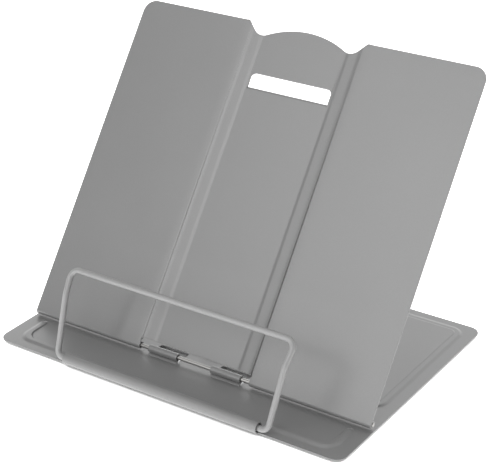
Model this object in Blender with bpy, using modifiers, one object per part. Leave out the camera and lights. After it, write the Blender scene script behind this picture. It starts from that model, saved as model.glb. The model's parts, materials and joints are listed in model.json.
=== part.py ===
"""Folding book stand of pressed sheet steel and bent wire.

A flat base and a back plate meet on one hinge pin near the front of the base.
The back plate leans on a wire leg whose foot drops into grooves in the base.
A wire page holder turns in the rolled front edge of the base.
Lengths are in metres, angles in degrees, +Z is up and the reader is at -Y.
"""

import bmesh
import bpy
from math import atan2, ceil, cos, hypot, radians, sin, tan
from mathutils import Matrix, Vector

# Sheet, wire and the clearances between pieces
SHEET = 0.0010
WIRE_RADIUS = 0.0021
SEAT_GAP = 0.0003
RUNNING_GAP = 0.0003
ARC_STEP = 15.0
FINE_ARC_STEP = 5.0
CURL_STEP = 20.0
SMOOTH_ANGLE = 30.0
WELD_DISTANCE = 0.00001

# Base plate
BASE_WIDTH = 0.280
BASE_DEPTH = 0.199
BASE_CORNER = 0.0085
PAD_RADIUS = 0.0065
PAD_HEIGHT = 0.0016
PAD_EDGE = 0.0004
PAD_INSET = 0.0185

# Stiffening rib pressed round the front of the base
RIB_INSET = 0.0078
RIB_WIDTH = 0.0065
RIB_HEIGHT = 0.0010
RIB_OUTER_SLOPE = 0.0031
RIB_INNER_SLOPE = 0.0016
RIB_CORNER = 0.0095
RIB_INNER_CORNER = 0.0055
RIB_END_GAP = 0.0048

# Raised platform behind the hinge, with grooves for the foot of the wire leg
PLATFORM_INSET = 0.0100
PLATFORM_SETBACK = 0.0220
PLATFORM_HEIGHT = 0.0010
PLATFORM_SLOPE = 0.0040
PLATFORM_CORNER = 0.0090
GROOVE_DEPTH = 0.0007
GROOVE_WIDTH = 0.0036
GROOVE_SLOPE = 0.0010
GROOVE_END = 0.0060
STOP_TILTS = (48.0, 53.9, 59.0, 64.0, 69.0)

# Rolled front edge that holds the page holder
ROLL_HALF_LENGTH = 0.0790
ROLL_SETBACK = 0.0006
ROLL_RADIUS = 0.0040
ROLL_SWEEP = 305.0

# Hinge between the base and the back plate
HINGE_SETBACK = 0.0427
HINGE_HEIGHT = 0.0038
PIN_RADIUS = 0.0014
PIN_OVERHANG = 0.0006
PIN_CROWN = 0.0005
TAB_SIDE_GAP = 0.0060
TAB_WIDTH = 0.0240
TAB_RISE = 30.0
TAB_SWEEP = 285.0
TAB_BLANK_GAP = 0.0012
CURL_SWEEP = 300.0
CURL_SIDE_GAP = 0.0010
HINGE_RELIEF = 0.0055
RELIEF_CORNER = 0.0020

# Back plate
BACK_WIDTH = 0.2768
BACK_HEIGHT = 0.2421
BACK_CORNER = 0.0095
REST_TILT = 53.9
CHANNEL_HALF_WIDTH = 0.0344
CHANNEL_STEP_GAP = 0.0070
CHANNEL_STEP_WIDTH = 0.0008
CHANNEL_STEP_DEPTH = 0.00068
NOTCH_STEP_GAP = 0.0030
NOTCH_CORNER = 0.0090
NOTCH_FLANK = 46.0
WING_TIP_CORNER = 0.0020
ARCH_SLOPE = 26.0
ARCH_FLAT = 0.0002
ARCH_DROP = 0.0006

# Slot in the back plate, with its lower edge turned back
SLOT_END_GAP = 0.0017
SLOT_HEIGHT = 0.0102
SLOT_DROP = 0.0417
SLOT_TOP_CORNER = 0.0040
SLOT_LIP_RADIUS = 0.0020
SLOT_LIP_SWEEP = 80.0

# Wire page holder
HOLDER_LEG_GAP = 0.0069
HOLDER_LEG_SPLAY = 0.0027
HOLDER_TIP_SPLAY = 0.0018
HOLDER_LEG = 0.0431
HOLDER_TIP = 0.0178
HOLDER_LEG_ANGLE = 69.0
HOLDER_TIP_ANGLE = 54.0
HOLDER_END = 0.0310
HOLDER_FOOT_BEND = 0.0050
HOLDER_KNEE_BEND = 0.0120
HOLDER_TOP_BEND = 0.0062

# Wire leg behind the back plate, and the two clips that hold it
LEG_FIRST_STOP_MARGIN = 0.0085
LEG_CLIP_GAP = 0.0140
LEG_FOOT_DROP = 0.0008
LEG_FOOT_BEND = 0.0080
LEG_PIVOT_BEND = 0.0060
CLIP_SHEET = 0.0008
CLIP_WIDTH = 0.0120
CLIP_FOLD_GAP = 0.0024
CLIP_FLANGE = 0.0060
CLIP_BEND = 0.0009
CLIP_WIRE_END = 0.0020

# Places that follow from the sizes above
BASE_TOP = PAD_HEIGHT + SEAT_GAP + SHEET
ROLL_INNER_RADIUS = ROLL_RADIUS - SHEET
FRONT_EDGE = (ROLL_RADIUS - ROLL_SETBACK - BASE_DEPTH) / 2
ROLL_AXIS = Vector((0, FRONT_EDGE + ROLL_SETBACK, BASE_TOP + ROLL_INNER_RADIUS))
HINGE_AXIS = Vector((0, FRONT_EDGE + HINGE_SETBACK, BASE_TOP + HINGE_HEIGHT))
CURL_INNER_RADIUS = PIN_RADIUS + RUNNING_GAP
CURL_RADIUS = CURL_INNER_RADIUS + SHEET
CHANNEL_OUTER = CHANNEL_HALF_WIDTH + 2 * CHANNEL_STEP_WIDTH + CHANNEL_STEP_GAP
CURL_START = CHANNEL_OUTER + CURL_SIDE_GAP
TAB_OUTER = CURL_START - TAB_SIDE_GAP
NOTCH_HALF_WIDTH = CHANNEL_HALF_WIDTH + NOTCH_STEP_GAP
SLOT_MIDDLE = BACK_HEIGHT - SLOT_DROP
HOLDER_LEG_SPREAD = ROLL_HALF_LENGTH + HOLDER_LEG_GAP
CLIP_SPREAD = CHANNEL_HALF_WIDTH - CLIP_FOLD_GAP - CLIP_WIDTH / 2
LEG_HALF_WIDTH = CLIP_SPREAD + CLIP_WIDTH / 2 + LEG_CLIP_GAP
CHANNEL_DEPTH = 2 * CHANNEL_STEP_DEPTH
CHANNEL_BACK = CURL_RADIUS - CHANNEL_DEPTH - SHEET
LEG_OFFSET = CHANNEL_BACK - SEAT_GAP - WIRE_RADIUS

# The leg is as long as its pivot is far from the hinge, so its foot keeps its height.
# At the lowest stop the foot stands just inside the rear edge of the platform.
PLATFORM_BACK = BASE_DEPTH - PLATFORM_INSET
LEG_REACH = PLATFORM_BACK - PLATFORM_SLOPE - LEG_FIRST_STOP_MARGIN - HINGE_SETBACK
LEG_PIVOT = LEG_REACH / cos(radians(STOP_TILTS[0])) / 2
LEG_RISE = -LEG_OFFSET - LEG_FOOT_DROP
LEG_LENGTH = hypot(LEG_PIVOT, LEG_RISE)
LEG_SET = -atan2(LEG_RISE, LEG_PIVOT)


def add_material(name, color, roughness, metallic):
    material = bpy.data.materials.new(name)
    material.use_nodes = True
    shader = material.node_tree.nodes["Principled BSDF"]
    shader.inputs["Base Color"].default_value = (*color, 1)
    shader.inputs["Roughness"].default_value = roughness
    shader.inputs["Metallic"].default_value = metallic
    material.diffuse_color = (*color, 1)
    return material


def rounded_path(corners, closed=False, arc_step=ARC_STEP):
    """Points along straight runs whose corners, (x, y, z, radius), are arcs."""
    places = [Vector(corner[:3]) for corner in corners]
    points = []
    for index, place in enumerate(places):
        radius = corners[index][3]
        at_end = not closed and index in (0, len(places) - 1)
        if at_end or radius == 0:
            points.append(place)
            continue
        before = (places[index - 1] - place).normalized()
        after = (places[(index + 1) % len(places)] - place).normalized()
        half_angle = before.angle(after) / 2
        centre = place + (before + after).normalized() * radius / sin(half_angle)
        start = place + before * radius / tan(half_angle) - centre
        end = place + after * radius / tan(half_angle) - centre
        sweep = start.angle(end)
        steps = max(2, ceil(sweep / radians(arc_step)))
        for step in range(steps + 1):
            turn = Matrix.Rotation(sweep * step / steps, 3, start.cross(end))
            points.append(centre + turn @ start)
    gaps = [(point - points[index - 1]).length for index, point in enumerate(points)]
    return [point for point, gap in zip(points, gaps) if gap > WELD_DISTANCE]


def outline(corners, height=0, arc_step=ARC_STEP):
    """A closed outline in plan, with its corners given as (x, y, radius)."""
    raised = [(x, y, height, radius) for x, y, radius in corners]
    return rounded_path(raised, closed=True, arc_step=arc_step)


def rectangle(half_width, front, back, corner, height=0):
    sides = ((-half_width, front), (half_width, front), (half_width, back), (-half_width, back))
    return outline([(x, y, corner) for x, y in sides], height)


def add_loop(mesh, points):
    """Adds a closed ring of vertices and edges, and returns both."""
    ring = [mesh.verts.new(point) for point in points]
    edges = [mesh.edges.new((ring[i - 1], ring[i])) for i in range(len(ring))]
    return ring, edges


def add_slope(mesh, foot, top):
    """Joins two rings of as many points by a band of faces."""
    for i in range(len(foot)):
        mesh.faces.new((foot[i - 1], foot[i], top[i], top[i - 1]))


def fill(mesh, edges):
    bmesh.ops.triangle_fill(mesh, edges=edges, use_beauty=True, normal=(0, 0, 1))


def beyond(points, limit, side):
    """The stretch of an outline that lies on one side of x = limit."""
    kept = []
    for index, point in enumerate(points):
        before = points[index - 1]
        inside = side * (point.x - limit) > 0
        if inside != (side * (before.x - limit) > 0):
            kept.append(before.lerp(point, (limit - before.x) / (point.x - before.x)))
        if inside:
            kept.append(point)
    return kept


def mirrored(points):
    """The same outline on the other side of the middle, wound the same way."""
    return [Vector((-point.x, point.y, point.z)) for point in reversed(points)]


def curl(mesh, edges, centre, sweep):
    """Curls sheet on from its edges round an axis along X."""
    bmesh.ops.spin(
        mesh,
        geom=edges,
        cent=centre,
        axis=(1, 0, 0),
        angle=radians(sweep),
        steps=ceil(abs(sweep) / CURL_STEP),
        use_duplicate=False,
    )


def edges_between(mesh, inside):
    """The open edges of a sheet whose two ends both pass a test."""
    open_edges = [edge for edge in mesh.edges if edge.is_boundary]
    return [edge for edge in open_edges if all(inside(vert.co) for vert in edge.verts)]


def near(first, second):
    return abs(first - second) < WELD_DISTANCE


def sheet_object(name, mesh, thickness, material, parts):
    """Turns an open surface into sheet that lies on the surface's back."""
    bmesh.ops.remove_doubles(mesh, verts=mesh.verts, dist=WELD_DISTANCE)
    data = bpy.data.meshes.new(name)
    mesh.to_mesh(data)
    mesh.free()
    data.materials.append(material)
    obj = bpy.data.objects.new(name, data)
    parts.objects.link(obj)
    solid = obj.modifiers.new("Sheet", "SOLIDIFY")
    solid.thickness = thickness
    solid.offset = -1
    solid.use_even_offset = True
    solid.use_quality_normals = True
    data.shade_smooth()
    data.set_sharp_from_angle(angle=radians(SMOOTH_ANGLE))
    return obj


def wire_object(name, points, material, parts):
    curve = bpy.data.curves.new(name, "CURVE")
    curve.dimensions = "3D"
    curve.bevel_depth = WIRE_RADIUS
    curve.bevel_resolution = 4
    curve.use_fill_caps = True
    spline = curve.splines.new("POLY")
    spline.points.add(len(points) - 1)
    for target, point in zip(spline.points, points):
        target.co = (*point, 1)
    curve.materials.append(material)
    obj = bpy.data.objects.new(name, curve)
    parts.objects.link(obj)
    return obj


def round_bar(name, radius, length, crown, sides, material, parts):
    """A solid bar along its own Z with rounded rims."""
    mesh = bmesh.new()
    bmesh.ops.create_cone(
        mesh, cap_ends=True, segments=sides, radius1=radius, radius2=radius, depth=length
    )
    data = bpy.data.meshes.new(name)
    mesh.to_mesh(data)
    mesh.free()
    data.materials.append(material)
    obj = bpy.data.objects.new(name, data)
    parts.objects.link(obj)
    rim = obj.modifiers.new("Rim", "BEVEL")
    rim.width = crown
    rim.segments = 3
    rim.limit_method = "ANGLE"
    data.shade_smooth()
    data.set_sharp_from_angle(angle=radians(SMOOTH_ANGLE))
    return obj


def foot_reach(tilt):
    """How far behind the hinge axis the foot of the wire leg stands."""
    lean = radians(tilt)
    leg_lean = lean + LEG_SET
    pivot_y = LEG_PIVOT * cos(lean) - LEG_OFFSET * sin(lean)
    return pivot_y + LEG_LENGTH * cos(leg_lean)


def base_outline():
    """The blank's edge: round corners, and a set-back stretch for the roll."""
    side = BASE_WIDTH / 2
    back = BASE_DEPTH
    return outline(
        [
            (-side, 0, BASE_CORNER),
            (-ROLL_HALF_LENGTH, 0, 0),
            (-ROLL_HALF_LENGTH, ROLL_SETBACK, 0),
            (ROLL_HALF_LENGTH, ROLL_SETBACK, 0),
            (ROLL_HALF_LENGTH, 0, 0),
            (side, 0, BASE_CORNER),
            (side, back, BASE_CORNER),
            (-side, back, BASE_CORNER),
        ]
    )


def rib_outline(outer, inner, end, height):
    """A U round the front, `outer` and `inner` away from the rib's own edges."""
    side = BASE_WIDTH / 2 - RIB_INSET - outer
    front = RIB_INSET + outer
    inner_side = BASE_WIDTH / 2 - RIB_INSET - RIB_WIDTH + inner
    inner_front = RIB_INSET + RIB_WIDTH - inner
    back = HINGE_SETBACK - RIB_END_GAP - end
    end_corner = (side - inner_side) / 2
    return outline(
        [
            (-side, front, RIB_CORNER - outer),
            (side, front, RIB_CORNER - outer),
            (side, back, end_corner),
            (inner_side, back, end_corner),
            (inner_side, inner_front, RIB_INNER_CORNER + inner),
            (-inner_side, inner_front, RIB_INNER_CORNER + inner),
            (-inner_side, back, end_corner),
            (-side, back, end_corner),
        ],
        height,
    )


def tab_start():
    """Where the hinge tab leaves the base, and where it meets its curl."""
    rise = radians(TAB_RISE)
    touch_y = CURL_INNER_RADIUS * sin(rise)
    touch_z = HINGE_HEIGHT - CURL_INNER_RADIUS * cos(rise)
    return HINGE_SETBACK + touch_y - touch_z / tan(rise), HINGE_SETBACK + touch_y, touch_z


def tab_window():
    """The hole that a hinge tab leaves when it is cut and curled."""
    root, touch, height = tab_start()
    blank = hypot(touch - root, height) + radians(TAB_SWEEP) * (CURL_INNER_RADIUS + SHEET / 2)
    inner = TAB_OUTER - TAB_WIDTH
    back = root + blank + TAB_BLANK_GAP
    return outline(
        [
            (inner, root, 0),
            (TAB_OUTER, root, 0),
            (TAB_OUTER, back, RELIEF_CORNER),
            (inner, back, RELIEF_CORNER),
        ]
    )


def groove_outline(tilt, inset, height):
    middle = HINGE_SETBACK + foot_reach(tilt)
    half_width = GROOVE_WIDTH / 2 - inset
    half_length = LEG_HALF_WIDTH + GROOVE_END - inset
    return rectangle(half_length, middle - half_width, middle + half_width, half_width, height)


def make_base(material, parts):
    """Pressed base: rib, platform and grooves, curled hinge tabs and front roll."""
    mesh = bmesh.new()
    level = PLATFORM_HEIGHT
    _, rim = add_loop(mesh, base_outline())
    rib_foot, rib_edges = add_loop(mesh, rib_outline(0, 0, 0, 0))
    rib_top, crest = add_loop(
        mesh, rib_outline(RIB_OUTER_SLOPE, RIB_INNER_SLOPE, RIB_OUTER_SLOPE, RIB_HEIGHT)
    )
    side = BASE_WIDTH / 2 - PLATFORM_INSET
    front = HINGE_SETBACK + PLATFORM_SETBACK
    back = PLATFORM_BACK
    step = PLATFORM_SLOPE
    foot, foot_edges = add_loop(mesh, rectangle(side, front, back, PLATFORM_CORNER))
    top, top_edges = add_loop(
        mesh, rectangle(side - step, front + step, back - step, PLATFORM_CORNER - step, level)
    )
    windows = [add_loop(mesh, points)[1] for points in (tab_window(), mirrored(tab_window()))]
    fill(mesh, rim + rib_edges + foot_edges + windows[0] + windows[1])
    fill(mesh, crest)

    grooves = []
    for tilt in STOP_TILTS:
        lip, lip_edges = add_loop(mesh, groove_outline(tilt, 0, level))
        floor, floor_edges = add_loop(mesh, groove_outline(tilt, GROOVE_SLOPE, level - GROOVE_DEPTH))
        grooves += lip_edges
        fill(mesh, floor_edges)
        add_slope(mesh, lip, floor)
    fill(mesh, top_edges + grooves)
    add_slope(mesh, rib_foot, rib_top)
    add_slope(mesh, foot, top)
    bmesh.ops.recalc_face_normals(mesh, faces=mesh.faces)
    if sum(face.normal.z for face in mesh.faces) < 0:
        bmesh.ops.reverse_faces(mesh, faces=mesh.faces)

    root, touch, height = tab_start()
    roots = edges_between(mesh, lambda co: near(co.y, root) and abs(co.x) <= TAB_OUTER + SHEET)
    ramp = bmesh.ops.extrude_edge_only(mesh, edges=roots)["geom"]
    ramp_verts = [item for item in ramp if isinstance(item, bmesh.types.BMVert)]
    bmesh.ops.translate(mesh, verts=ramp_verts, vec=(0, touch - root, height))
    ramp_edges = edges_between(mesh, lambda co: near(co.z, height) and near(co.y, touch))
    curl(mesh, ramp_edges, (0, HINGE_SETBACK, HINGE_HEIGHT), TAB_SWEEP)
    front_edges = edges_between(mesh, lambda co: near(co.y, ROLL_SETBACK))
    curl(mesh, front_edges, (0, ROLL_SETBACK, ROLL_INNER_RADIUS), -ROLL_SWEEP)
    base = sheet_object("base_plate", mesh, SHEET, material, parts)
    base.location = (0, FRONT_EDGE, BASE_TOP)
    return base


def back_outline():
    """The front view of the back plate: two wings, two valleys and an arch."""
    side = BACK_WIDTH / 2
    # The arch is as round as the straight lines up from its two valleys allow
    slope = radians(ARCH_SLOPE)
    valley_angle = radians(180 - ARCH_SLOPE - NOTCH_FLANK)
    run = NOTCH_HALF_WIDTH / cos(slope) - NOTCH_CORNER / tan(valley_angle / 2) - ARCH_FLAT
    arch_radius = run / tan(slope)
    peak = BACK_HEIGHT - ARCH_DROP + arch_radius * (1 / cos(slope) - 1)
    valley = peak - NOTCH_HALF_WIDTH * tan(slope)
    tip = NOTCH_HALF_WIDTH + (BACK_HEIGHT - valley) / tan(radians(NOTCH_FLANK))
    right = [
        (CURL_START, HINGE_RELIEF, RELIEF_CORNER),
        (CURL_START, 0, 0),
        (side, 0, 0),
        (side, BACK_HEIGHT, BACK_CORNER),
        (tip, BACK_HEIGHT, WING_TIP_CORNER),
        (NOTCH_HALF_WIDTH, valley, NOTCH_CORNER),
    ]
    left = [(-x, y, radius) for x, y, radius in reversed(right)]
    return outline(right + [(0, peak, arch_radius)] + left, arc_step=FINE_ARC_STEP)


def channel_folds():
    """Where the channel's steps start and end, from left to right."""
    width = CHANNEL_STEP_WIDTH
    inner = CHANNEL_HALF_WIDTH
    folds = [inner, inner + width, CHANNEL_OUTER - width, CHANNEL_OUTER]
    return [-x for x in reversed(folds)] + folds


def channel_drop(x):
    """How far the channel in the middle of the back plate lies behind its wings."""
    drop = 0
    for step in range(2):
        inner = CHANNEL_HALF_WIDTH + step * (CHANNEL_STEP_GAP + CHANNEL_STEP_WIDTH)
        share = 1 - (abs(x) - inner) / CHANNEL_STEP_WIDTH
        drop += CHANNEL_STEP_DEPTH * min(1, max(0, share))
    return drop


def make_back(material, parts):
    """Pressed back plate: stepped channel, slot with a turned lip, hinge curls."""
    mesh = bmesh.new()
    bottom = SLOT_MIDDLE - SLOT_HEIGHT / 2 - SLOT_LIP_RADIUS
    top = SLOT_MIDDLE + SLOT_HEIGHT / 2
    half = CHANNEL_HALF_WIDTH - SLOT_END_GAP
    corner = SLOT_TOP_CORNER
    corners = [(-half, bottom, 0), (half, bottom, 0), (half, top, corner), (-half, top, corner)]
    _, slot = add_loop(mesh, outline(corners))
    folds = channel_folds()
    for left, right in zip([-BACK_WIDTH] + folds, folds + [BACK_WIDTH]):
        strip = beyond(beyond(back_outline(), left, 1), right, -1)
        _, edges = add_loop(mesh, strip)
        fill(mesh, edges + (slot if left < 0 < right else []))
    for vert in mesh.verts:
        vert.co.z = CURL_RADIUS - channel_drop(vert.co.x)
    bmesh.ops.remove_doubles(mesh, verts=mesh.verts, dist=WELD_DISTANCE)
    bmesh.ops.recalc_face_normals(mesh, faces=mesh.faces)
    if sum(face.normal.z for face in mesh.faces) < 0:
        bmesh.ops.reverse_faces(mesh, faces=mesh.faces)

    wing_edges = edges_between(mesh, lambda co: near(co.y, 0))
    curl(mesh, wing_edges, (0, 0, 0), CURL_SWEEP)
    lip_edges = edges_between(mesh, lambda co: near(co.y, bottom) and abs(co.x) <= half + SHEET)
    lip_centre = (0, bottom, CURL_RADIUS - CHANNEL_DEPTH - SLOT_LIP_RADIUS)
    curl(mesh, lip_edges, lip_centre, -SLOT_LIP_SWEEP)
    back = sheet_object("back_plate", mesh, SHEET, material, parts)
    back.location = HINGE_AXIS
    back.rotation_euler = (radians(REST_TILT), 0, 0)
    return back


def make_page_holder(material, parts):
    """A wire frame that leans on the pages, with its two ends in the roll."""
    leg = radians(HOLDER_LEG_ANGLE)
    tip = radians(HOLDER_TIP_ANGLE)
    knee_x = HOLDER_LEG_SPREAD + HOLDER_LEG_SPLAY
    knee_y = HOLDER_LEG * cos(leg)
    knee_z = HOLDER_LEG * sin(leg)
    half = [
        (HOLDER_LEG_SPREAD - HOLDER_END, 0, 0, 0),
        (HOLDER_LEG_SPREAD, 0, 0, HOLDER_FOOT_BEND),
        (knee_x, knee_y, knee_z, HOLDER_KNEE_BEND),
        (
            knee_x + HOLDER_TIP_SPLAY,
            knee_y + HOLDER_TIP * cos(tip),
            knee_z + HOLDER_TIP * sin(tip),
            HOLDER_TOP_BEND,
        ),
    ]
    other_half = [(-x, y, z, radius) for x, y, z, radius in reversed(half)]
    holder = wire_object("page_holder", rounded_path(half + other_half), material, parts)
    holder.location = ROLL_AXIS
    return holder


def make_leg(back, material, parts):
    """The wire leg: its two turned-in ends pivot in clips, its foot is a bar."""
    wire_end = CLIP_SPREAD - CLIP_WIDTH / 2 - CLIP_WIRE_END
    half = [
        (wire_end, 0, 0, 0),
        (LEG_HALF_WIDTH, 0, 0, LEG_PIVOT_BEND),
        (LEG_HALF_WIDTH, LEG_LENGTH, 0, LEG_FOOT_BEND),
    ]
    other_half = [(-x, y, z, radius) for x, y, z, radius in reversed(half)]
    leg = wire_object("prop_leg", rounded_path(half + other_half), material, parts)
    leg.parent = back
    leg.location = (0, LEG_PIVOT, LEG_OFFSET)
    leg.rotation_euler = (-2 * radians(REST_TILT) - LEG_SET, 0, 0)
    return leg


def make_clip(name, x, back, material, parts):
    """A saddle clip welded to the back plate over one end of the wire leg."""
    inner = WIRE_RADIUS + RUNNING_GAP
    seat = CHANNEL_BACK - SEAT_GAP - LEG_OFFSET
    section = rounded_path(
        [
            (0, inner + CLIP_FLANGE, seat, 0),
            (0, inner, seat, CLIP_BEND),
            (0, inner, -inner, inner),
            (0, -inner, -inner, inner),
            (0, -inner, seat, CLIP_BEND),
            (0, -inner - CLIP_FLANGE, seat, 0),
        ]
    )
    mesh = bmesh.new()
    rows = []
    for side in (-CLIP_WIDTH / 2, CLIP_WIDTH / 2):
        rows.append([mesh.verts.new(point + Vector((side, 0, 0))) for point in section])
    for i in range(1, len(section)):
        mesh.faces.new((rows[0][i - 1], rows[0][i], rows[1][i], rows[1][i - 1]))
    clip = sheet_object(name, mesh, CLIP_SHEET, material, parts)
    clip.parent = back
    clip.location = (x, LEG_PIVOT, LEG_OFFSET)
    return clip


def make_book_stand():
    parts = bpy.data.collections.new("book_stand")
    bpy.context.scene.collection.children.link(parts)
    grey_coat = (0.32, 0.32, 0.325)
    wire_coat = (0.36, 0.36, 0.365)
    steel = (0.62, 0.62, 0.63)
    rubber = (0.02, 0.02, 0.02)

    make_base(add_material("base powder coat", grey_coat, 0.42, 0), parts)
    back = make_back(add_material("back powder coat", grey_coat, 0.42, 0), parts)
    make_page_holder(add_material("page holder coat", wire_coat, 0.36, 0), parts)
    make_leg(back, add_material("prop leg coat", wire_coat, 0.36, 0), parts)
    for side, name in ((-1, "left"), (1, "right")):
        coat = add_material(f"{name} clip coat", grey_coat, 0.42, 0)
        make_clip(f"prop_clip_{name}", side * CLIP_SPREAD, back, coat, parts)

    pin_length = BACK_WIDTH + 2 * PIN_OVERHANG
    pin_steel = add_material("pin steel", steel, 0.3, 1)
    pin = round_bar("hinge_pin", PIN_RADIUS, pin_length, PIN_CROWN, 20, pin_steel, parts)
    pin.location = HINGE_AXIS
    pin.rotation_euler = (0, radians(90), 0)

    for row, y in (("front", PAD_INSET), ("rear", BASE_DEPTH - PAD_INSET)):
        for side, name in ((-1, "left"), (1, "right")):
            pad_rubber = add_material(f"{row} {name} pad rubber", rubber, 0.7, 0)
            pad = round_bar(
                f"foot_pad_{row}_{name}", PAD_RADIUS, PAD_HEIGHT, PAD_EDGE, 24, pad_rubber, parts
            )
            pad.location = (side * (BASE_WIDTH / 2 - PAD_INSET), FRONT_EDGE + y, PAD_HEIGHT / 2)


for old in list(bpy.data.objects):
    bpy.data.objects.remove(old, do_unlink=True)
make_book_stand()
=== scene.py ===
"""The looks of a folding book stand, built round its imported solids.

Lengths are in metres, angles in degrees, +Z is up and the reader is at -Y.
"""

import json
from math import atan2, ceil, cos, hypot, radians, sin, tan

import bmesh
import bpy
from mathutils import Matrix, Vector


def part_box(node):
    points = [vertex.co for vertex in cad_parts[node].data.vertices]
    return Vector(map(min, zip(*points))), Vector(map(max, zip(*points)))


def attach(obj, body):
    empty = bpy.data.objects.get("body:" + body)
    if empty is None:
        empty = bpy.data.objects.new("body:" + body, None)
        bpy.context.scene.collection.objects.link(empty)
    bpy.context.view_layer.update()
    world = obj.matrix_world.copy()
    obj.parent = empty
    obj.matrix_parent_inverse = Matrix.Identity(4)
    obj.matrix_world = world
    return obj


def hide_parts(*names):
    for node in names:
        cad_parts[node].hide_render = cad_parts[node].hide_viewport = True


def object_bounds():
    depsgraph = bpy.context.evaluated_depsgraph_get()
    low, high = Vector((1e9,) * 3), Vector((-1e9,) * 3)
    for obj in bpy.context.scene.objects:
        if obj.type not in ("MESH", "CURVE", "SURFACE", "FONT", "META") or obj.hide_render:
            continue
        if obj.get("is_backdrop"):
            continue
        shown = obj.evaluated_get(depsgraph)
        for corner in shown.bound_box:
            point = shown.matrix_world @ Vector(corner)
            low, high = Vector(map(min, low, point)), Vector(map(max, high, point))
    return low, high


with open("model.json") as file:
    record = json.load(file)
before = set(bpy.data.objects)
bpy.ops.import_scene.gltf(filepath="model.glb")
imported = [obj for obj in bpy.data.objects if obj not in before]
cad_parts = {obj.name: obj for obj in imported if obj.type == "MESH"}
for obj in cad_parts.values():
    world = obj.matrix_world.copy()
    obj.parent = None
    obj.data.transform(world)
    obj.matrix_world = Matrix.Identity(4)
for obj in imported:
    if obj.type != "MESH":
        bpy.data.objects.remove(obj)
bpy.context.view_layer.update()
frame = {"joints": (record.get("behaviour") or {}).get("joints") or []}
axis_of = {joint["name"]: Vector(joint["pos_m"]) for joint in frame["joints"]}

# Base plate.
# One blank of 1 mm steel sheet. A press forms the rib round its front, the raised platform
# and the five grooves; two tabs are cut free and curled up; the whole is then powder coated.
SHEET = 0.0010
PAINTED_EDGE = 0.0002
PAINTED_EDGE_STEPS = 2
EDGE_ANGLE = 55
SAME_POINT = PAINTED_EDGE / 20
BASE_WIDTH = 0.280
BASE_DEPTH = 0.199
BASE_CORNER = 0.0085
RIB_INSET = 0.0062
RIB_SIDE_INSET = 0.0094
RIB_WIDTH = 0.0070
RIB_HEIGHT = 0.0010
RIB_OUTER_SLOPE = 0.0040
RIB_INNER_SLOPE = 0.0012
RIB_CORNER = 0.0125
RIB_INNER_CORNER = 0.0085
RIB_END_GAP = 0.0048
PLATFORM_INSET = 0.0060
PLATFORM_SIDE_INSET = 0.0075
PLATFORM_SETBACK = 0.0220
PLATFORM_HEIGHT = 0.0010
PLATFORM_SHOULDER = 0.0036
PLATFORM_SHOULDER_HEIGHT = 0.0007
PLATFORM_LEDGE = 0.0022
PLATFORM_SLOPE = 0.0012
PLATFORM_CORNER = 0.0115
GROOVE_DEPTH = 0.0007
GROOVE_WIDTH = 0.0038
GROOVE_SLOPE = 0.0014
GROOVE_HALF_LENGTH = 0.0520
GROOVE_SETBACKS = (0.1363, 0.1205, 0.1058, 0.0906, 0.0748)
ROLL_HALF_LENGTH = 0.0790
ROLL_SETBACK = 0.0006
ROLL_INNER_RADIUS = 0.0030
ROLL_SWEEP = 305
TAB_SIDES = (0.0140, 0.0380)
TAB_RISE = 30
TAB_SWEEP = 285
TAB_BEND = 0.0010
TAB_BEND_STEPS = 4
TAB_BLANK_GAP = 0.0012
RELIEF_CORNER = 0.0020
CURL_INNER_RADIUS = 0.0017
ARC_STEP = 7.5
PRESS_STEPS = 8
SHORTEST_STEP = 0.0000005
# A round end takes 0.98 of half the width, so that a short straight stays between its arcs.
HALF_ROUND = 0.98

roll_axis = axis_of["holder_swing"]
hinge_axis = axis_of["back_tilt"]
base_top = roll_axis.z - ROLL_INNER_RADIUS
front_edge = roll_axis.y - ROLL_SETBACK
hinge_setback = hinge_axis.y - front_edge
hinge_height = hinge_axis.z - base_top


def rounded(corners, closed=True, arc_step=ARC_STEP):
    """Points along straight runs whose corners, (x, y, z, radius), are arcs."""
    places = [Vector(corner[:3]) for corner in corners]
    points = []
    for index, place in enumerate(places):
        radius = corners[index][3]
        if radius == 0 or (not closed and index in (0, len(places) - 1)):
            points.append(place)
            continue
        before = (places[index - 1] - place).normalized()
        after = (places[(index + 1) % len(places)] - place).normalized()
        half_angle = before.angle(after) / 2
        centre = place + (before + after).normalized() * radius / sin(half_angle)
        start = place + before * radius / tan(half_angle) - centre
        end = place + after * radius / tan(half_angle) - centre
        sweep = start.angle(end)
        steps = max(2, ceil(sweep / radians(arc_step)))
        for step in range(steps + 1):
            turn = Matrix.Rotation(sweep * step / steps, 3, start.cross(end))
            points.append(centre + turn @ start)
    gaps = [(point - points[index - 1]).length for index, point in enumerate(points)]
    return [point for point, gap in zip(points, gaps) if gap > SHORTEST_STEP]


def oblong(half_width, front, back, corner, height=0):
    sides = ((-half_width, front), (half_width, front), (half_width, back), (-half_width, back))
    return rounded([(x, y, height, corner) for x, y in sides])


def add_loop(mesh, points):
    ring = [mesh.verts.new(point) for point in points]
    return ring, [mesh.edges.new((ring[i - 1], ring[i])) for i in range(len(ring))]


def add_band(mesh, first, second):
    for i in range(len(first)):
        mesh.faces.new((first[i - 1], first[i], second[i], second[i - 1]))


def press(mesh, foot, top):
    """A pressed slope between two rings: level at both, round in between."""
    last = foot
    for step in range(1, PRESS_STEPS + 1):
        share = step / PRESS_STEPS
        rise = 2 * share**2 if share < 0.5 else 1 - 2 * (1 - share) ** 2
        if step == PRESS_STEPS:
            ring = top
        else:
            ring = []
            for low, high in zip(foot, top):
                place = low.co.lerp(high.co, share)
                place.z = low.co.z + (high.co.z - low.co.z) * rise
                ring.append(mesh.verts.new(place))
        add_band(mesh, last, ring)
        last = ring


def fill(mesh, edges):
    bmesh.ops.triangle_fill(mesh, edges=edges, use_beauty=True, normal=(0, 0, 1))


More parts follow.
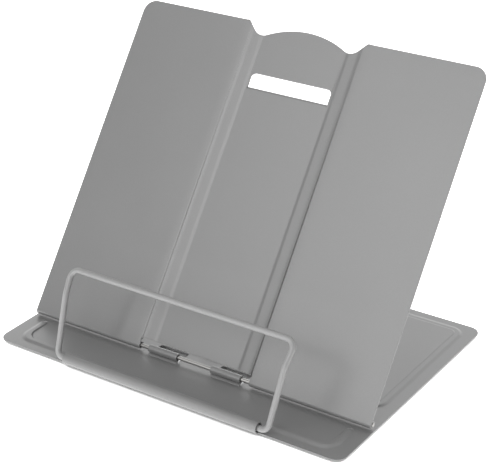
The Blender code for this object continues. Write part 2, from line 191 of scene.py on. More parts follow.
def face_up(mesh):
    bmesh.ops.remove_doubles(mesh, verts=mesh.verts, dist=SAME_POINT)
    bmesh.ops.recalc_face_normals(mesh, faces=mesh.faces)
    if sum(face.normal.z * face.calc_area() for face in mesh.faces) < 0:
        bmesh.ops.reverse_faces(mesh, faces=mesh.faces)


def open_edges(mesh, inside):
    found = [edge for edge in mesh.edges if edge.is_boundary]
    return [edge for edge in found if all(inside(vert.co) for vert in edge.verts)]


def level(first, second):
    return abs(first - second) < SAME_POINT


def curl(mesh, edges, centre, sweep):
    """Bends the sheet on from its edges, and lists the new faces in one fixed order."""
    bmesh.ops.spin(
        mesh,
        geom=edges,
        cent=centre,
        axis=(1, 0, 0),
        angle=radians(sweep),
        steps=ceil(abs(sweep) / ARC_STEP),
        use_duplicate=False,
    )
    mesh.verts.index_update()
    count = len(mesh.verts)

    def order(part):
        first, *others = sorted(vert.index for vert in part.verts)
        return (first * count + others[0]) * count + others[-1]

    mesh.edges.sort(key=order)
    mesh.faces.sort(key=order)


def finish_piece(name, mesh, material, body, place=None, thickness=0):
    """Makes the object, gives sheet its thickness and soft painted edges, and lets it ride."""
    data = bpy.data.meshes.new(name)
    mesh.to_mesh(data)
    mesh.free()
    data.shade_smooth()
    data.materials.append(material)
    piece = bpy.data.objects.new(name, data)
    bpy.context.scene.collection.objects.link(piece)
    if place is not None:
        piece.matrix_world = place
    if thickness:
        solid = piece.modifiers.new("Sheet", "SOLIDIFY")
        solid.thickness = thickness
        solid.offset = -1
        solid.use_even_offset = True
        solid.use_quality_normals = True
        edge = piece.modifiers.new("Painted edge", "BEVEL")
        edge.width = PAINTED_EDGE
        edge.segments = PAINTED_EDGE_STEPS
        edge.limit_method = "ANGLE"
        edge.angle_limit = radians(EDGE_ANGLE)
        edge.use_clamp_overlap = False
        even = piece.modifiers.new("Flat faces stay flat", "WEIGHTED_NORMAL")
        even.keep_sharp = True
    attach(piece, body)
    return piece


def base_edge():
    side = BASE_WIDTH / 2
    roll = ROLL_HALF_LENGTH
    return rounded(
        [
            (-side, 0, 0, BASE_CORNER),
            (-roll, 0, 0, 0),
            (-roll, ROLL_SETBACK, 0, 0),
            (roll, ROLL_SETBACK, 0, 0),
            (roll, 0, 0, 0),
            (side, 0, 0, BASE_CORNER),
            (side, BASE_DEPTH, 0, BASE_CORNER),
            (-side, BASE_DEPTH, 0, BASE_CORNER),
        ]
    )


def rib_ring(outer, inner, height):
    side = BASE_WIDTH / 2 - RIB_SIDE_INSET - outer
    front = RIB_INSET + outer
    inner_side = BASE_WIDTH / 2 - RIB_SIDE_INSET - RIB_WIDTH + inner
    inner_front = RIB_INSET + RIB_WIDTH - inner
    back = hinge_setback - RIB_END_GAP - outer
    end_corner = (side - inner_side) / 2 * HALF_ROUND
    places = [
        (-side, front, RIB_CORNER - outer),
        (side, front, RIB_CORNER - outer),
        (side, back, end_corner),
        (inner_side, back, end_corner),
        (inner_side, inner_front, RIB_INNER_CORNER + inner),
        (-inner_side, inner_front, RIB_INNER_CORNER + inner),
        (-inner_side, back, end_corner),
        (-side, back, end_corner),
    ]
    return rounded([(x, y, height, radius) for x, y, radius in places])


def tab_profile():
    """Side view of a hinge tab: bend, ramp and the curl round the pin, as (y, z)."""
    rise = radians(TAB_RISE)
    touch_y = hinge_setback + CURL_INNER_RADIUS * sin(rise)
    touch_z = hinge_height - CURL_INNER_RADIUS * cos(rise)
    root = touch_y - touch_z / tan(rise)
    start = root - TAB_BEND * tan(rise / 2)
    profile = []
    for step in range(TAB_BEND_STEPS + 1):
        turn = rise * step / TAB_BEND_STEPS
        profile.append((start + TAB_BEND * sin(turn), TAB_BEND * (1 - cos(turn))))
    steps = ceil(TAB_SWEEP / ARC_STEP)
    for step in range(steps + 1):
        turn = rise + radians(TAB_SWEEP) * step / steps
        y = hinge_setback + CURL_INNER_RADIUS * sin(turn)
        profile.append((y, hinge_height - CURL_INNER_RADIUS * cos(turn)))
    return profile


def tab_window(side):
    """The hole that a tab leaves in the blank, with its bend along the front."""
    profile = tab_profile()
    front = profile[0][0]
    curl_y, curl_z = profile[TAB_BEND_STEPS + 1]
    blank = hypot(curl_y - front, curl_z)
    back = front + blank + radians(TAB_SWEEP) * (CURL_INNER_RADIUS + SHEET / 2) + TAB_BLANK_GAP
    near_x, far_x = (side * x for x in TAB_SIDES)
    places = [
        (near_x, front, 0),
        (far_x, front, 0),
        (far_x, back, RELIEF_CORNER),
        (near_x, back, RELIEF_CORNER),
    ]
    return rounded([(x, y, 0, radius) for x, y, radius in places])


def press_base():
    mesh = bmesh.new()
    _, rim = add_loop(mesh, base_edge())
    rib_foot, rib_edges = add_loop(mesh, rib_ring(0, 0, 0))
    rib_top, crest = add_loop(mesh, rib_ring(RIB_OUTER_SLOPE, RIB_INNER_SLOPE, RIB_HEIGHT))
    side = BASE_WIDTH / 2 - PLATFORM_SIDE_INSET
    front = hinge_setback + PLATFORM_SETBACK
    back = BASE_DEPTH - PLATFORM_INSET
    high = PLATFORM_HEIGHT
    platform_rings = []
    platform_edges = []
    inset = 0
    for step, height in (
        (0, 0),
        (PLATFORM_SHOULDER, PLATFORM_SHOULDER_HEIGHT),
        (PLATFORM_LEDGE, PLATFORM_SHOULDER_HEIGHT),
        (PLATFORM_SLOPE, high),
    ):
        inset += step
        corner = PLATFORM_CORNER - inset
        points = oblong(side - inset, front + inset, back - inset, corner, height)
        ring, edges = add_loop(mesh, points)
        platform_rings.append(ring)
        platform_edges.append(edges)
    windows = [add_loop(mesh, tab_window(sign))[1] for sign in (-1, 1)]
    fill(mesh, rim + rib_edges + platform_edges[0] + windows[0] + windows[1])
    fill(mesh, crest)
    press(mesh, rib_foot, rib_top)
    foot, shoulder, ledge, top = platform_rings
    press(mesh, foot, shoulder)
    add_band(mesh, shoulder, ledge)
    press(mesh, ledge, top)
    lips = []
    for setback in GROOVE_SETBACKS:
        middle = hinge_setback + setback
        loops = []
        for inset, height in ((0, high), (GROOVE_SLOPE, high - GROOVE_DEPTH)):
            half = GROOVE_WIDTH / 2 - inset
            length = GROOVE_HALF_LENGTH - inset
            points = oblong(length, middle - half, middle + half, half * HALF_ROUND, height)
            loops.append(add_loop(mesh, points))
        (lip, lip_edges), (floor, floor_edges) = loops
        lips += lip_edges
        fill(mesh, floor_edges)
        press(mesh, lip, floor)
    fill(mesh, platform_edges[-1] + lips)
    face_up(mesh)

    profile = tab_profile()
    for sign in (-1, 1):
        near_x, far_x = sorted(sign * x for x in TAB_SIDES)
        rows = [[mesh.verts.new((x, y, z)) for x in (near_x, far_x)] for y, z in profile]
        for before, after in zip(rows, rows[1:]):
            mesh.faces.new((before[0], before[1], after[1], after[0]))
    bmesh.ops.remove_doubles(mesh, verts=mesh.verts, dist=SAME_POINT)
    front_edges = open_edges(mesh, lambda co: level(co.y, ROLL_SETBACK))
    curl(mesh, front_edges, (0, ROLL_SETBACK, ROLL_INNER_RADIUS), -ROLL_SWEEP)
    face_up(mesh)
    return mesh


# The finish is powder coat, sprayed on dry and baked until it flows. To the eye it is a satin
# grey skin with a faint orange peel, a gloss that changes slowly, and a hint of metal flake.
# The flake is really 0.05 mm and is drawn at 0.6 mm, so that it shows.
PEEL_SIZE = 0.0012
PEEL_HEIGHT = 0.00008
PEEL_STRENGTH = 0.12
FLAKE_SIZE = 0.0006
CLOUD_SIZE = 0.045
CLOUD_SHARE = 0.35
CLOUD_RANGE = (0.3, 0.7)
POWDER_COAT_IOR = 1.5


def linear(hex_code):
    """sRGB hex to the linear colour that shaders want."""
    parts = [int(hex_code[i : i + 2], 16) / 255 for i in (1, 3, 5)]
    return [p / 12.92 if p <= 0.04045 else ((p + 0.055) / 1.055) ** 2.4 for p in parts] + [1]


def add_node(tree, kind, inputs=None, **settings):
    node = tree.nodes.new(kind)
    for name, value in settings.items():
        setattr(node, name, value)
    for name, value in (inputs or {}).items():
        if isinstance(value, bpy.types.NodeSocket):
            tree.links.new(value, node.inputs[name])
        else:
            node.inputs[name].default_value = value
    return node


def new_material(name):
    material = bpy.data.materials.new(name)
    material.use_nodes = True
    tree = material.node_tree
    return material, tree, tree.nodes["Principled BSDF"]


def powder_coat(name, dark, light, least_rough, most_rough, metallic):
    material, tree, shader = new_material(name)
    place = add_node(tree, "ShaderNodeTexCoord").outputs["Object"]
    flake = add_node(
        tree, "ShaderNodeTexNoise", {"Vector": place, "Scale": 1 / FLAKE_SIZE, "Detail": 1.0}
    )
    cloud = add_node(
        tree, "ShaderNodeTexNoise", {"Vector": place, "Scale": 1 / CLOUD_SIZE, "Detail": 3.0}
    )
    peel = add_node(
        tree, "ShaderNodeTexNoise", {"Vector": place, "Scale": 1 / PEEL_SIZE, "Detail": 2.0}
    )
    blend = add_node(
        tree,
        "ShaderNodeMix",
        {"Factor": CLOUD_SHARE, "A": flake.outputs["Fac"], "B": cloud.outputs["Fac"]},
    )
    colour = add_node(
        tree,
        "ShaderNodeMix",
        {"Factor": blend.outputs["Result"]},
        data_type="RGBA",
    )
    colour.inputs["A"].default_value = linear(dark)
    colour.inputs["B"].default_value = linear(light)
    gloss = add_node(
        tree,
        "ShaderNodeMapRange",
        {
            "Value": cloud.outputs["Fac"],
            "From Min": CLOUD_RANGE[0],
            "From Max": CLOUD_RANGE[1],
            "To Min": least_rough,
            "To Max": most_rough,
        },
    )
    bump = add_node(
        tree,
        "ShaderNodeBump",
        {"Height": peel.outputs["Fac"], "Strength": PEEL_STRENGTH, "Distance": PEEL_HEIGHT},
    )
    tree.links.new(colour.outputs["Result"], shader.inputs["Base Color"])
    tree.links.new(gloss.outputs["Result"], shader.inputs["Roughness"])
    tree.links.new(bump.outputs["Normal"], shader.inputs["Normal"])
    shader.inputs["Metallic"].default_value = metallic
    shader.inputs["IOR"].default_value = POWDER_COAT_IOR
    return material


sheet_coat = powder_coat(
    "satin_grey_powder_coat",
    dark="#888888",
    light="#909090",
    least_rough=0.30,
    most_rough=0.35,
    metallic=0.26,
)
base_place = Matrix.Translation((0, front_edge, base_top))
base = finish_piece("base_sheet", press_base(), sheet_coat, "base", base_place, SHEET)
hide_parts("base_plate")

# Foot pads.
# Four moulded rubber buttons, glued to the underside, keep the paint off the desk.
# Each has a round rim and a shallow dish underneath that grips.
PAD_RADIUS = 0.0065
PAD_HEIGHT = 0.0016
PAD_RIM = 0.0005
PAD_DISH_RADIUS = 0.0042
PAD_DISH_DEPTH = 0.0003
PAD_SIDES = 40
EDGE_STEPS = 4


def lathe(profile, sides):
    """A closed body of revolution about Z from (radius, height) points."""
    mesh = bmesh.new()
    rings = []
    for radius, height in profile:
        if radius == 0:
            rings.append([mesh.verts.new((0, 0, height))])
            continue
        turns = [radians(360) * i / sides for i in range(sides)]
        rings.append([mesh.verts.new((radius * cos(t), radius * sin(t), height)) for t in turns])
    for first, second in zip(rings, rings[1:]):
        for i in range(sides):
            if len(first) == 1:
                mesh.faces.new((first[0], second[i], second[i - 1]))
            elif len(second) == 1:
                mesh.faces.new((first[i - 1], first[i], second[0]))
            else:
                mesh.faces.new((first[i - 1], first[i], second[i], second[i - 1]))
    bmesh.ops.recalc_face_normals(mesh, faces=mesh.faces)
    return mesh


def pad_profile():
    rim = [(0, PAD_DISH_DEPTH), (PAD_DISH_RADIUS - PAD_RIM, PAD_DISH_DEPTH), (PAD_DISH_RADIUS, 0)]
    turns = [radians(90) * step / EDGE_STEPS for step in range(EDGE_STEPS + 1)]
    for turn in turns:
        rim.append((PAD_RADIUS - PAD_RIM * (1 - sin(turn)), PAD_RIM * (1 - cos(turn))))
    for turn in turns:
        height = PAD_HEIGHT - PAD_RIM * (1 - sin(turn))
        rim.append((PAD_RADIUS - PAD_RIM * (1 - cos(turn)), height))
    return rim + [(0, PAD_HEIGHT)]


# Moulded rubber is dry and dull, with soft grey lights on its edges. The grain of the mould is
# 0.1 mm and is drawn at 0.8 mm, so that it shows.
RUBBER_GRAIN = 0.0008
RUBBER_RELIEF = 0.0001
RUBBER_RELIEF_STRENGTH = 0.3
RUBBER_ROUGHNESS = 0.72
rubber, rubber_tree, rubber_shader = new_material("black_moulded_rubber")
rubber_place = add_node(rubber_tree, "ShaderNodeTexCoord").outputs["Object"]
rubber_grain = add_node(
    rubber_tree,
    "ShaderNodeTexNoise",
    {"Vector": rubber_place, "Scale": 1 / RUBBER_GRAIN, "Detail": 3.0},
)
rubber_bump = add_node(
    rubber_tree,
    "ShaderNodeBump",
    {
        "Height": rubber_grain.outputs["Fac"],
        "Strength": RUBBER_RELIEF_STRENGTH,
        "Distance": RUBBER_RELIEF,
    },
)
rubber_tint = add_node(
    rubber_tree, "ShaderNodeMix", {"Factor": rubber_grain.outputs["Fac"]}, data_type="RGBA"
)
rubber_tint.inputs["A"].default_value = linear("#161616")
rubber_tint.inputs["B"].default_value = linear("#242424")
rubber_tree.links.new(rubber_tint.outputs["Result"], rubber_shader.inputs["Base Color"])
rubber_tree.links.new(rubber_bump.outputs["Normal"], rubber_shader.inputs["Normal"])
rubber_shader.inputs["Roughness"].default_value = RUBBER_ROUGHNESS
for row in ("front", "rear"):
    for side_name in ("left", "right"):
        node = f"foot_pad_{row}_{side_name}"
        low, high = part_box(node)
        pad_place = Matrix.Translation(((low.x + high.x) / 2, (low.y + high.y) / 2, low.z))
        pad = finish_piece(
            f"rubber_pad_{row}_{side_name}",
            lathe(pad_profile(), PAD_SIDES),
            rubber,
            "base",
            pad_place,
        )
        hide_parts(node)

# Hinge pin.
# A length of drawn steel wire, left bare, that runs through the curls of both plates.
# Its ends are lightly domed and just show at the sides.
PIN_RADIUS = 0.0014
PIN_DOME = 0.0005
PIN_SIDES = 32
DOME_STEPS = 5


def pin_profile(half_length):
    half = [(0, half_length)]
    for step in range(1, DOME_STEPS + 1):
        turn = radians(90) * step / DOME_STEPS
        height = half_length - PIN_DOME * (1 - cos(turn))
        half.append((PIN_RADIUS - PIN_DOME * (1 - sin(turn)), height))
    return half + [(radius, -height) for radius, height in reversed(half)]


# Drawn steel: the die leaves fine streaks along the wire, so its lights are long and a little
# broken. The streaks are 0.05 mm wide and are drawn at 0.4 mm, so that they show.
STREAK_WIDTH = 0.0004
STREAK_LENGTH = 0.0167
STEEL_LEAST_ROUGH = 0.28
STEEL_MOST_ROUGH = 0.42
steel, steel_tree, steel_shader = new_material("drawn_steel")
steel_place = add_node(steel_tree, "ShaderNodeTexCoord").outputs["Object"]
steel_stretch = add_node(
    steel_tree,
    "ShaderNodeMapping",
    {"Vector": steel_place, "Scale": (1 / STREAK_WIDTH, 1 / STREAK_WIDTH, 1 / STREAK_LENGTH)},
)
steel_streaks = add_node(
    steel_tree,
    "ShaderNodeTexNoise",
    {"Vector": steel_stretch.outputs["Vector"], "Scale": 1.0, "Detail": 2.0},
)
steel_gloss = add_node(
    steel_tree,
    "ShaderNodeMapRange",
    {
        "Value": steel_streaks.outputs["Fac"],
        "To Min": STEEL_LEAST_ROUGH,
        "To Max": STEEL_MOST_ROUGH,
    },
)
steel_tree.links.new(steel_gloss.outputs["Result"], steel_shader.inputs["Roughness"])
steel_shader.inputs["Base Color"].default_value = linear("#a9a8a6")
steel_shader.inputs["Metallic"].default_value = 1
_, pin_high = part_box("hinge_pin")
pin_place = Matrix.Translation(hinge_axis) @ Matrix.Rotation(radians(90), 4, "Y")
pin = finish_piece(
    "drawn_hinge_pin",
    lathe(pin_profile(pin_high.x), PIN_SIDES),
    steel,
    "base",
    pin_place,
)
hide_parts("hinge_pin")

# Back plate.
# A second blank of the same sheet. Two small steps sink its middle into a shallow channel,
# the slot's lower edge is turned back for the fingers, and its bottom curls round the pin.
BACK_WIDTH = 0.2768
BACK_HEIGHT = 0.2421
BACK_CORNER = 0.0095
REST_TILT = 53.9
CURL_RADIUS = CURL_INNER_RADIUS + SHEET
CURL_SWEEP = 300
CURL_START = 0.0454
HINGE_RELIEF = 0.0055
# The channel's side, from the wing inward: distance from the middle, and the slope there.
CHANNEL_SIDE = (
    (0.0520, 0.000),
    (0.0462, 0.035),
    (0.0440, 0.230),
    (0.0418, 0.040),
    (0.0366, 0.040),
    (0.0348, 0.230),
    (0.0330, 0.000),
)
NOTCH_HALF_WIDTH = 0.0374
NOTCH_CORNER = 0.0090
NOTCH_FLANK = 46
WING_TIP_CORNER = 0.0020
ARCH_SLOPE = 26
ARCH_FLAT = 0.0002
ARCH_DROP = 0.0006
SLOT_HALF_LENGTH = 0.0327
SLOT_HEIGHT = 0.0102
SLOT_MIDDLE = 0.2004
SLOT_TOP_CORNER = 0.0040
SLOT_LIP_RADIUS = 0.0020
SLOT_LIP_SWEEP = 80
EDGE_ARC_STEP = 3
SIDE_STEPS = 4


def back_edge():
    side = BACK_WIDTH / 2
    slope = radians(ARCH_SLOPE)
    valley_angle = radians(180 - ARCH_SLOPE - NOTCH_FLANK)
    run = NOTCH_HALF_WIDTH / cos(slope) - NOTCH_CORNER / tan(valley_angle / 2) - ARCH_FLAT
    arch_radius = run / tan(slope)
    peak = BACK_HEIGHT - ARCH_DROP + arch_radius * (1 / cos(slope) - 1)
    valley = peak - NOTCH_HALF_WIDTH * tan(slope)
    tip = NOTCH_HALF_WIDTH + (BACK_HEIGHT - valley) / tan(radians(NOTCH_FLANK))
    right = [
        (CURL_START, HINGE_RELIEF, 0, RELIEF_CORNER),
        (CURL_START, 0, 0, 0),
        (side, 0, 0, 0),
        (side, BACK_HEIGHT, 0, BACK_CORNER),
        (tip, BACK_HEIGHT, 0, WING_TIP_CORNER),
        (NOTCH_HALF_WIDTH, valley, 0, NOTCH_CORNER),
    ]
    left = [(-x, y, z, radius) for x, y, z, radius in reversed(right)]
    return rounded(right + [(0, peak, 0, arch_radius)] + left, arc_step=EDGE_ARC_STEP)


def beyond(points, limit, side):
    """The stretch of an outline that lies on one side of x = limit."""
    kept = []
    for index, point in enumerate(points):
        before = points[index - 1]
        inside = side * (point.x - limit) > 0
        if inside != (side * (before.x - limit) > 0):
            kept.append(before.lerp(point, (limit - before.x) / (point.x - before.x)))
        if inside:
            kept.append(point)
    return kept


def channel_drop(x):
    """Depth below the wings, from the slope at each distance from the middle."""
    drop = 0
    for (far, start), (near, end) in zip(CHANNEL_SIDE, CHANNEL_SIDE[1:]):
        share = min(1, max(0, (far - abs(x)) / (far - near)))
        drop += (far - near) * share * (start + (end - start) * share / 2)
    return drop


def press_back():
    mesh = bmesh.new()
    bottom = SLOT_MIDDLE - SLOT_HEIGHT / 2 - SLOT_LIP_RADIUS
    top = SLOT_MIDDLE + SLOT_HEIGHT / 2
    half = SLOT_HALF_LENGTH
    corner = SLOT_TOP_CORNER
    slot_corners = [(-half, bottom, 0, 0), (half, bottom, 0, 0)]
    slot_corners += [(half, top, 0, corner), (-half, top, 0, corner)]
    _, slot_edges = add_loop(mesh, rounded(slot_corners))
    cuts = []
    for (far, _), (near, _) in zip(CHANNEL_SIDE, CHANNEL_SIDE[1:]):
        cuts += [near + (far - near) * step / SIDE_STEPS for step in range(1, SIDE_STEPS + 1)]
    cuts = sorted(cuts + [CHANNEL_SIDE[-1][0]])
    cuts = [-x for x in reversed(cuts)] + cuts
    for left, right in zip([-BACK_WIDTH] + cuts, cuts + [BACK_WIDTH]):
        strip = beyond(beyond(back_edge(), left, 1), right, -1)
        _, edges = add_loop(mesh, strip)
        fill(mesh, edges + (slot_edges if left < 0 < right else []))
    for vert in mesh.verts:
        vert.co.z = CURL_RADIUS - channel_drop(vert.co.x)
    face_up(mesh)
    curl(mesh, open_edges(mesh, lambda co: level(co.y, 0)), (0, 0, 0), CURL_SWEEP)
    lip_edges = open_edges(mesh, lambda co: level(co.y, bottom) and abs(co.x) <= half + SHEET)
    lip_depth = CURL_RADIUS - channel_drop(0) - SLOT_LIP_RADIUS
    curl(mesh, lip_edges, (0, bottom, lip_depth), -SLOT_LIP_SWEEP)
    return mesh


back_place = Matrix.Translation(hinge_axis) @ Matrix.Rotation(radians(REST_TILT), 4, "X")
back = finish_piece("back_sheet", press_back(), sheet_coat, "back", back_place, SHEET)
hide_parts("back_plate")

# Saddle clips.
# Two strips of thin sheet, bent over the ends of the wire leg and spot welded to the back
# plate by their flanges, then coated with it. The welds leave small round dimples.
WIRE_RADIUS = 0.0021
SEAT_GAP = 0.0003
CLIP_SHEET = 0.0008
CLIP_WIDTH = 0.0120
CLIP_SPREAD = 0.0260
CLIP_FLANGE = 0.0060
CLIP_BEND = 0.0012
WELD_SETBACK = CLIP_FLANGE * 0.6
WELD_RADIUS = 0.0015
WELD_RIM_RADIUS = WELD_RADIUS * 0.8
WELD_DISH_RADIUS = WELD_RIM_RADIUS * 0.6
WELD_HEIGHT = 0.00012
WELD_SIDES = 24
leg_pivot = axis_of["prop_swing"]
leg_place = Matrix.Translation(leg_pivot) @ Matrix.Rotation(radians(REST_TILT), 4, "X")
leg_in_back = back_place.inverted() @ leg_pivot
clip_seat = CURL_RADIUS - channel_drop(0) - SHEET - SEAT_GAP - leg_in_back.z


def bend_clip():
    inner = WIRE_RADIUS + SEAT_GAP
    section = rounded(
        [
            (0, inner + CLIP_FLANGE, clip_seat, 0),
            (0, inner, clip_seat, CLIP_BEND),
            (0, inner, -inner, inner * HALF_ROUND),
            (0, -inner, -inner, inner * HALF_ROUND),
            (0, -inner, clip_seat, CLIP_BEND),
            (0, -inner - CLIP_FLANGE, clip_seat, 0),
        ],
        closed=False,
    )
    mesh = bmesh.new()
    rows = []
    for side in (-CLIP_WIDTH / 2, CLIP_WIDTH / 2):
        rows.append([mesh.verts.new(point + Vector((side, 0, 0))) for point in section])
    for i in range(1, len(section)):
        mesh.faces.new((rows[0][i - 1], rows[0][i], rows[1][i], rows[1][i - 1]))
    return mesh


def weld_profile():
    return [
        (0, -WELD_HEIGHT / 3),
        (WELD_DISH_RADIUS, -WELD_HEIGHT / 2),
        (WELD_RIM_RADIUS, -WELD_HEIGHT),
        (WELD_RADIUS, 0),
        (0, WELD_HEIGHT),
    ]


for sign, side_name in ((-1, "left"), (1, "right")):
    clip_place = leg_place @ Matrix.Translation((sign * CLIP_SPREAD, 0, 0))
    clip = finish_piece(
        f"saddle_clip_{side_name}",
        bend_clip(),
        sheet_coat,
        "back",
        clip_place,
        CLIP_SHEET,
    )
    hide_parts(f"prop_clip_{side_name}")
    for end_name, end in (("upper", 1), ("lower", -1)):
        flange_middle = end * (WIRE_RADIUS + SEAT_GAP + WELD_SETBACK)
        weld_place = clip_place @ Matrix.Translation((0, flange_middle, clip_seat - CLIP_SHEET))
        finish_piece(
            f"weld_{side_name}_{end_name}",
            lathe(weld_profile(), WELD_SIDES),
            sheet_coat,
            "back",
            weld_place,
        )

# Wire leg.
# 4 mm steel wire, bent to a loop and coated. Its two ends turn in and pivot in the clips,
# and its straight foot slides over the platform from groove to groove.
WIRE_SIDES = 24
LEG_HALF_WIDTH = 0.0460
LEG_FOOT_DROP = 0.0008
LEG_FOOT_BEND = 0.0080
LEG_PIVOT_BEND = 0.0060
CLIP_WIRE_END = 0.0020
WIRE_DOME = WIRE_RADIUS * 0.5
WIRE_DOME_SWEEP = 80
WIRE_DOME_STEPS = 5


def draw_wire(points):
    """A round wire along a path, with domed ends."""
    mesh = bmesh.new()
    ahead = [(b - a).normalized() for a, b in zip(points, points[1:])]
    ahead = [ahead[0]] + [(a + b).normalized() for a, b in zip(ahead, ahead[1:])] + [ahead[-1]]
    across = ahead[0].orthogonal().normalized()
    sections = []
    for index, (point, forward) in enumerate(zip(points, ahead)):
        across = (across - forward * across.dot(forward)).normalized()
        if index in (0, len(points) - 1):
            out = forward if index else -forward
            dome = []
            for step in range(WIRE_DOME_STEPS):
                turn = radians(WIRE_DOME_SWEEP) * step / WIRE_DOME_STEPS
                back_off = WIRE_DOME * (1 - sin(turn))
                dome.append((point - out * back_off, across, forward, WIRE_RADIUS * cos(turn)))
            sections += dome if index else reversed(dome)
        else:
            sections.append((point, across, forward, WIRE_RADIUS))
    rings = []
    for point, side, forward, radius in sections:
        up = forward.cross(side)
        turns = [radians(360) * i / WIRE_SIDES for i in range(WIRE_SIDES)]
        places = [point + (side * cos(t) + up * sin(t)) * radius for t in turns]
        rings.append([mesh.verts.new(place) for place in places])
    for first, second in zip(rings, rings[1:]):
        add_band(mesh, first, second)
    mesh.faces.new(rings[0])
    mesh.faces.new(rings[-1])
    bmesh.ops.recalc_face_normals(mesh, faces=mesh.faces)
    return mesh


def both_halves(half):
    return half + [(-x, y, z, radius) for x, y, z, radius in reversed(half)]


# The wire has the same powder coat, drawn here a little duller and paler
# than on the sheet.
wire_coat = powder_coat(
    "satin_grey_wire_coat",
    dark="#989898",
    light="#a0a0a0",
    least_rough=0.36,
    most_rough=0.42,
    metallic=0.15,
)
leg_rise = -leg_in_back.z - LEG_FOOT_DROP
leg_length = hypot(leg_in_back.y, leg_rise)
leg_lean = -REST_TILT - atan2(-leg_rise, leg_in_back.y) / radians(1)
leg_wire_end = CLIP_SPREAD - CLIP_WIDTH / 2 - CLIP_WIRE_END
leg_half = [
    (leg_wire_end, 0, 0, 0),
    (LEG_HALF_WIDTH, 0, 0, LEG_PIVOT_BEND),
    (LEG_HALF_WIDTH, leg_length, 0, LEG_FOOT_BEND),
]
leg_wire_place = Matrix.Translation(leg_pivot) @ Matrix.Rotation(radians(leg_lean), 4, "X")
leg = finish_piece(
    "wire_leg",
    draw_wire(rounded(both_halves(leg_half), closed=False)),
    wire_coat,
    "leg",
    leg_wire_place,
)
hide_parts("prop_leg")

# Page holder.
# The same coated wire, bent to a low gate that holds an open book. Its two ends turn in
# and sit in the rolled front edge of the base.
HOLDER_LEG_SPREAD = 0.0859
HOLDER_LEG_SPLAY = 0.0027
HOLDER_TIP_SPLAY = 0.0018
HOLDER_LEG = 0.0431
HOLDER_TIP = 0.0178
HOLDER_LEG_ANGLE = 69
HOLDER_TIP_ANGLE = 54
HOLDER_END = 0.0310
HOLDER_FOOT_BEND = 0.0050
HOLDER_KNEE_BEND = 0.0120
HOLDER_TOP_BEND = 0.0062
knee_x = HOLDER_LEG_SPREAD + HOLDER_LEG_SPLAY
knee_y = HOLDER_LEG * cos(radians(HOLDER_LEG_ANGLE))
knee_z = HOLDER_LEG * sin(radians(HOLDER_LEG_ANGLE))
tip_y = knee_y + HOLDER_TIP * cos(radians(HOLDER_TIP_ANGLE))
tip_z = knee_z + HOLDER_TIP * sin(radians(HOLDER_TIP_ANGLE))
holder_half = [
    (HOLDER_LEG_SPREAD - HOLDER_END, 0, 0, 0),
    (HOLDER_LEG_SPREAD, 0, 0, HOLDER_FOOT_BEND),
    (knee_x, knee_y, knee_z, HOLDER_KNEE_BEND),
    (knee_x + HOLDER_TIP_SPLAY, tip_y, tip_z, HOLDER_TOP_BEND),
]
holder_path = rounded(both_halves(holder_half), closed=False)
holder = finish_piece(
    "wire_page_holder",
    draw_wire(holder_path),
    wire_coat,
    "holder",
    Matrix.Translation(roll_axis),
)
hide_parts("page_holder")

# Studio.
# A white table that runs out of sight, a room that is bright behind the stand and dim in
# front of it, and two square soft boxes: the key at the front left, and one overhead.
TABLE_RADIUS = 6.0
TABLE_SIDES = 96
table_mesh = bmesh.new()
bmesh.ops.create_circle(table_mesh, cap_ends=True, segments=TABLE_SIDES, radius=TABLE_RADIUS)
table_data = bpy.data.meshes.new("white_table")
table_mesh.to_mesh(table_data)
table_mesh.free()
# Matt white paint, lit from within where it lies open, so that it stays white in the picture.
# Near the stand, where the sky is hidden from it, the glow is cut back to a painted soft shadow.
CONTACT_REACH = 0.25
CONTACT_SAMPLES = 8
SHADED_BELOW = 0.20
OPEN_ABOVE = 0.34
TABLE_GLOW = 1.1
white_paint, white_tree, white_shader = new_material("matt_white_paint")
white_shader.inputs["Base Color"].default_value = linear("#f4f4f4")
white_shader.inputs["Roughness"].default_value = 0.9
white_shader.inputs["Emission Color"].default_value = (1, 1, 1, 1)
open_sky = add_node(
    white_tree,
    "ShaderNodeAmbientOcclusion",
    {"Distance": CONTACT_REACH},
    samples=CONTACT_SAMPLES,
)
# Painted shade: the table's glow fades where the stand hides the sky from it.
painted_contact_shade = add_node(
    white_tree,
    "ShaderNodeMapRange",
    {
        "Value": open_sky.outputs["AO"],
        "From Min": SHADED_BELOW,
        "From Max": OPEN_ABOVE,
        "To Max": TABLE_GLOW,
    },
)
white_tree.links.new(painted_contact_shade.outputs["Result"], white_shader.inputs["Emission Strength"])
table_data.materials.append(white_paint)
table = bpy.data.objects.new("white_table", table_data)
bpy.context.scene.collection.objects.link(table)
table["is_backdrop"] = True

# The room's light grows from dim to bright toward the side where the white sweep stands.
ROOM_DIM = 0.20
ROOM_BRIGHT = 1.75
SWEEP_FACING = (0, 0.89, -0.45)
DIM_BELOW = -0.2
BRIGHT_ABOVE = 0.5
room = bpy.data.worlds.new("white_room")
room.use_nodes = True
room_tree = room.node_tree
toward = add_node(room_tree, "ShaderNodeTexCoord").outputs["Generated"]
sweep_share = add_node(room_tree, "ShaderNodeVectorMath", operation="DOT_PRODUCT")
room_tree.links.new(toward, sweep_share.inputs[0])
sweep_share.inputs[1].default_value = SWEEP_FACING
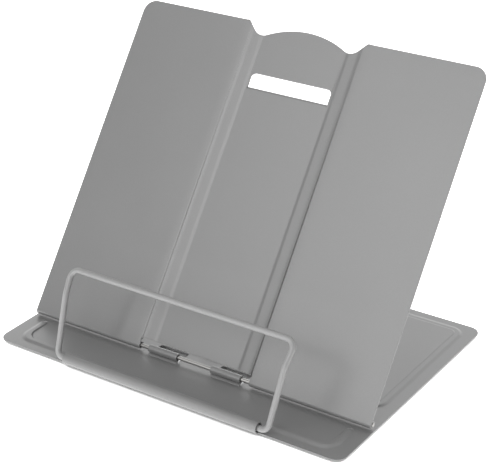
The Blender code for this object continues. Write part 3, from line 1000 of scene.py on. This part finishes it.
room_light = add_node(
    room_tree,
    "ShaderNodeMapRange",
    {
        "Value": sweep_share.outputs["Value"],
        "From Min": DIM_BELOW,
        "From Max": BRIGHT_ABOVE,
        "To Min": ROOM_DIM,
        "To Max": ROOM_BRIGHT,
    },
    interpolation_type="SMOOTHSTEP",
)
sky = room_tree.nodes["Background"]
sky.inputs["Color"].default_value = (1, 1, 1, 1)
room_tree.links.new(room_light.outputs["Result"], sky.inputs["Strength"])
bpy.context.scene.world = room

SOFT_BOX_SIDE = 1.6
SOFT_BOX_TARGET = (0, 0, 0.09)
KEY_PLACE = (-0.25, -1.44, 0.86)
KEY_WATTS = 14
OVERHEAD_PLACE = (-0.2, -0.3, 1.5)
OVERHEAD_WATTS = 6.5


def aim(thing, place, target):
    thing.location = place
    thing.rotation_mode = "QUATERNION"
    thing.rotation_quaternion = (Vector(target) - Vector(place)).to_track_quat("-Z", "Y")


def add_soft_box(name, place, watts):
    lamp = bpy.data.lights.new(name, "AREA")
    lamp.shape = "SQUARE"
    lamp.size = SOFT_BOX_SIDE
    lamp.energy = watts
    box = bpy.data.objects.new(name, lamp)
    bpy.context.scene.collection.objects.link(box)
    aim(box, place, SOFT_BOX_TARGET)


add_soft_box("key_box", KEY_PLACE, KEY_WATTS)
add_soft_box("overhead_box", OVERHEAD_PLACE, OVERHEAD_WATTS)
bpy.context.scene.view_settings.view_transform = "Standard"

# Camera.
# A long lens at the front right, a little above the stand, as a product is photographed.
CAMERA_PLACE = (0.5287, -0.7912, 0.5439)
CAMERA_TARGET = (0.0034, 0.0002, 0.0855)
LENS_MM = 113.69
SENSOR_MM = 36
NEAREST_SEEN = 0.01
camera_data = bpy.data.cameras.new("camera")
camera_data.lens = LENS_MM
camera_data.sensor_width = SENSOR_MM
camera_data.clip_start = NEAREST_SEEN
camera = bpy.data.objects.new("camera", camera_data)
bpy.context.scene.collection.objects.link(camera)
aim(camera, CAMERA_PLACE, CAMERA_TARGET)
bpy.context.scene.camera = camera

low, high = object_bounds()
